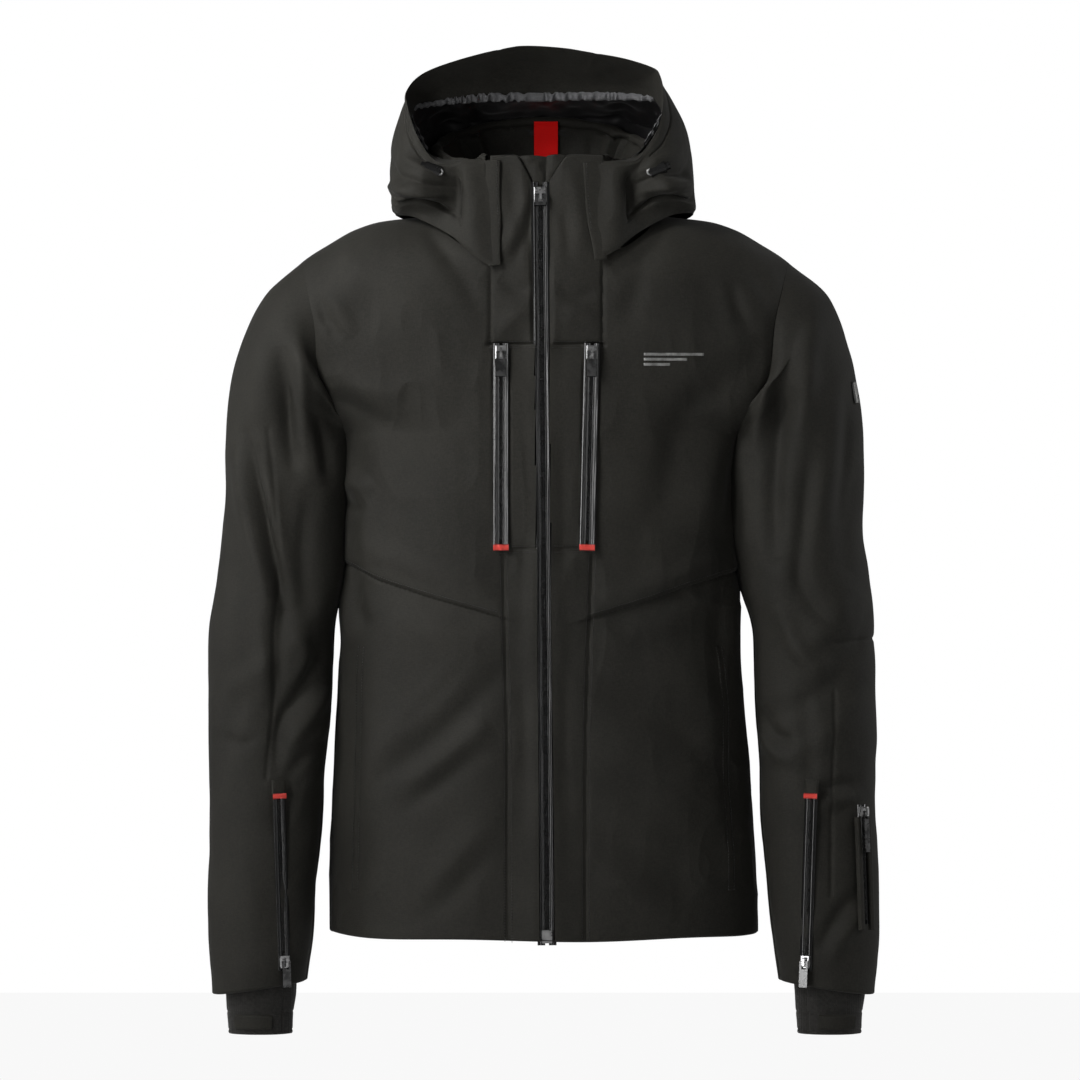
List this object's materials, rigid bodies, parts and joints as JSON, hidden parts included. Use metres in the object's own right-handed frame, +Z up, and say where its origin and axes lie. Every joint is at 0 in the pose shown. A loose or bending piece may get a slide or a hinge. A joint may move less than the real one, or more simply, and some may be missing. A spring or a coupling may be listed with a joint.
{
  "type": "ski jacket",
  "caption": "Padded black ski jacket with a fixed hood, zipped front, vertical chest pockets, zipped cuffs and inner storm cuffs, shaped as worn.",
  "frame": {"origin": "underside of the hanger loop at the centre of the back neck, where a hook bears", "axes": "+X to the wearer's left, +Y to the wearer's back, +Z up"},
  "size_m": [0.6648, 0.2581, 0.983],
  "materials": {
    "shell_fabric": "matte",
    "lining_fabric": "satin",
    "padding": "matte",
    "knit_cuff": "matte",
    "elastic_tape": "matte",
    "red_label": "matte",
    "red_thread": "matte",
    "webbing": "matte",
    "zip_tape": "gloss",
    "zip_coil": "satin",
    "zip_metal": "satin",
    "zip_pull_metal": "satin",
    "cord_lock_plastic": "satin",
    "reflective_mark": "satin"
  },
  "bodies": {
    "torso": {"back_panel": "shell_fabric", "back_yoke": "shell_fabric", "chest_mark": "reflective_mark", "collar": "shell_fabric", "collar_lining": "lining_fabric", "hanger_loop": "webbing", "hood_bindings": "shell_fabric", "left_chest_panel": "shell_fabric", "left_chest_zip": "zip_tape", "left_hand_pocket_welt": "shell_fabric", "left_lower_front": "shell_fabric", "left_placket_band": "shell_fabric", "left_zip_tape": "zip_tape", "neck_label": "red_label", "right_chest_panel": "shell_fabric", "right_chest_zip": "zip_tape", "right_hand_pocket_welt": "shell_fabric", "right_lower_front": "shell_fabric", "right_placket_band": "shell_fabric", "right_zip_tape": "zip_tape", "storm_flap": "shell_fabric", "torso_lining": "lining_fabric", "torso_padding": "padding", "zip_bottom_box": "zip_metal", "zip_coil": "zip_coil"},
    "front_zip_slider": {"front_zip_slider": "zip_metal"},
    "front_zip_pull": {"front_zip_pull": "zip_pull_metal"},
    "right_chest_zip_slider": {"right_chest_zip_slider": "zip_metal"},
    "right_chest_zip_pull": {"right_chest_zip_pull": "zip_pull_metal"},
    "right_cuff_zip_slider": {"right_cuff_zip_slider": "zip_metal"},
    "right_cuff_zip_pull": {"right_cuff_zip_pull": "zip_pull_metal"},
    "left_chest_zip_slider": {"left_chest_zip_slider": "zip_metal"},
    "left_chest_zip_pull": {"left_chest_zip_pull": "zip_pull_metal"},
    "left_cuff_zip_slider": {"left_cuff_zip_slider": "zip_metal"},
    "left_cuff_zip_pull": {"left_cuff_zip_pull": "zip_pull_metal"},
    "forearm_zip_slider": {"forearm_zip_slider": "zip_metal"},
    "forearm_zip_pull": {"forearm_zip_pull": "zip_pull_metal"},
    "right_cord_lock_button": {"right_cord_lock_button": "cord_lock_plastic"},
    "left_cord_lock_button": {"left_cord_lock_button": "cord_lock_plastic"},
    "right_upper_sleeve": {"right_upper_sleeve": "shell_fabric", "right_upper_sleeve_lining": "lining_fabric"},
    "left_upper_sleeve": {"left_upper_sleeve": "shell_fabric", "left_upper_sleeve_lining": "lining_fabric"},
    "right_lower_sleeve": {"right_lower_sleeve": "shell_fabric", "right_lower_sleeve_lining": "lining_fabric", "right_storm_cuff": "knit_cuff", "right_cuff_zip": "zip_tape"},
    "left_lower_sleeve": {"left_lower_sleeve": "shell_fabric", "left_lower_sleeve_lining": "lining_fabric", "left_storm_cuff": "knit_cuff", "left_cuff_zip": "zip_tape", "forearm_pocket_zip": "zip_tape"},
    "hood": {"right_hood_side": "shell_fabric", "left_hood_side": "shell_fabric", "hood_centre_panel": "shell_fabric", "hood_brim": "shell_fabric", "hood_lining": "lining_fabric", "hood_elastic_tape": "elastic_tape", "cord_lock_housings": "cord_lock_plastic"}
  },
  "joints": [
    {"name": "right_shoulder_raise", "type": "hinge", "parent": "torso", "child": "right_upper_sleeve", "pos_m": [-0.2425, -0.074, -0.1318], "axis": [0, 1, 0], "range_deg": [0, 50]},
    {"name": "left_shoulder_raise", "type": "hinge", "parent": "torso", "child": "left_upper_sleeve", "pos_m": [0.2425, -0.074, -0.1318], "axis": [0, -1, 0], "range_deg": [0, 50]},
    {"name": "right_elbow_bend", "type": "hinge", "parent": "right_upper_sleeve", "child": "right_lower_sleeve", "pos_m": [-0.273, -0.066, -0.51], "axis": [-1, 0, 0], "range_deg": [0, 45]},
    {"name": "left_elbow_bend", "type": "hinge", "parent": "left_upper_sleeve", "child": "left_lower_sleeve", "pos_m": [0.273, -0.066, -0.51], "axis": [-1, 0, 0], "range_deg": [0, 45]},
    {"name": "hood_tilt", "type": "hinge", "parent": "torso", "child": "hood", "pos_m": [0, 0.018, -0.08], "axis": [-1, 0, 0], "range_deg": [0, 25]},
    {"name": "front_zip_slider_slide", "type": "slide", "parent": "torso", "child": "front_zip_slider", "axis": [0.0091, -0.0639, -0.9979], "range_m": [-0.023, 0.714]},
    {"name": "front_zip_pull_hinge", "type": "hinge", "parent": "front_zip_slider", "child": "front_zip_pull", "pos_m": [-0.00468, -0.15773, -0.06858], "axis": [-1, 0, -0.0091], "range_deg": [0, 150]},
    {"name": "right_chest_zip_slider_slide", "type": "slide", "parent": "torso", "child": "right_chest_zip_slider", "axis": [0, -0.0592, -0.9982], "range_m": [0, 0.178]},
    {"name": "right_chest_zip_pull_hinge", "type": "hinge", "parent": "right_chest_zip_slider", "child": "right_chest_zip_pull", "pos_m": [-0.0435, -0.16962, -0.22456], "axis": [-1, 0, 0], "range_deg": [0, 150]},
    {"name": "right_cuff_zip_slider_slide", "type": "slide", "parent": "right_lower_sleeve", "child": "right_cuff_zip_slider", "axis": [-0.0307, -0.0141, 0.9994], "range_m": [0, 0.142]},
    {"name": "right_cuff_zip_pull_hinge", "type": "hinge", "parent": "right_cuff_zip_slider", "child": "right_cuff_zip_pull", "pos_m": [-0.25569, -0.15642, -0.82702], "axis": [-0.9267, -0.3744, -0.0337], "range_deg": [0, 150]},
    {"name": "left_chest_zip_slider_slide", "type": "slide", "parent": "torso", "child": "left_chest_zip_slider", "axis": [-0.0251, -0.0592, -0.9979], "range_m": [0, 0.178]},
    {"name": "left_chest_zip_pull_hinge", "type": "hinge", "parent": "left_chest_zip_slider", "child": "left_chest_zip_pull", "pos_m": [0.04628, -0.16962, -0.22456], "axis": [-0.9997, 0, 0.0251], "range_deg": [0, 150]},
    {"name": "left_cuff_zip_slider_slide", "type": "slide", "parent": "left_lower_sleeve", "child": "left_cuff_zip_slider", "axis": [0.0307, -0.0141, 0.9994], "range_m": [0, 0.142]},
    {"name": "left_cuff_zip_pull_hinge", "type": "hinge", "parent": "left_cuff_zip_slider", "child": "left_cuff_zip_pull", "pos_m": [0.25569, -0.15642, -0.82702], "axis": [-0.9267, 0.3744, 0.0337], "range_deg": [0, 150]},
    {"name": "forearm_zip_slider_slide", "type": "slide", "parent": "left_lower_sleeve", "child": "forearm_zip_slider", "axis": [0.0339, -0.0339, -0.9989], "range_m": [0, 0.1]},
    {"name": "forearm_zip_pull_hinge", "type": "hinge", "parent": "forearm_zip_slider", "child": "forearm_zip_pull", "pos_m": [0.31758, -0.14706, -0.67868], "axis": [-0.7431, -0.6691, -0.0025], "range_deg": [0, 120]},
    {"name": "right_cord_lock_button_press", "type": "slide", "parent": "hood", "child": "right_cord_lock_button", "axis": [0.9404, 0, -0.3401], "range_m": [0, 0.0035], "stiffness_N_per_m": 400, "springref_m": -0.002},
    {"name": "left_cord_lock_button_press", "type": "slide", "parent": "hood", "child": "left_cord_lock_button", "axis": [-0.9404, 0, -0.3401], "range_m": [0, 0.0035], "stiffness_N_per_m": 400, "springref_m": -0.002}
  ]
}
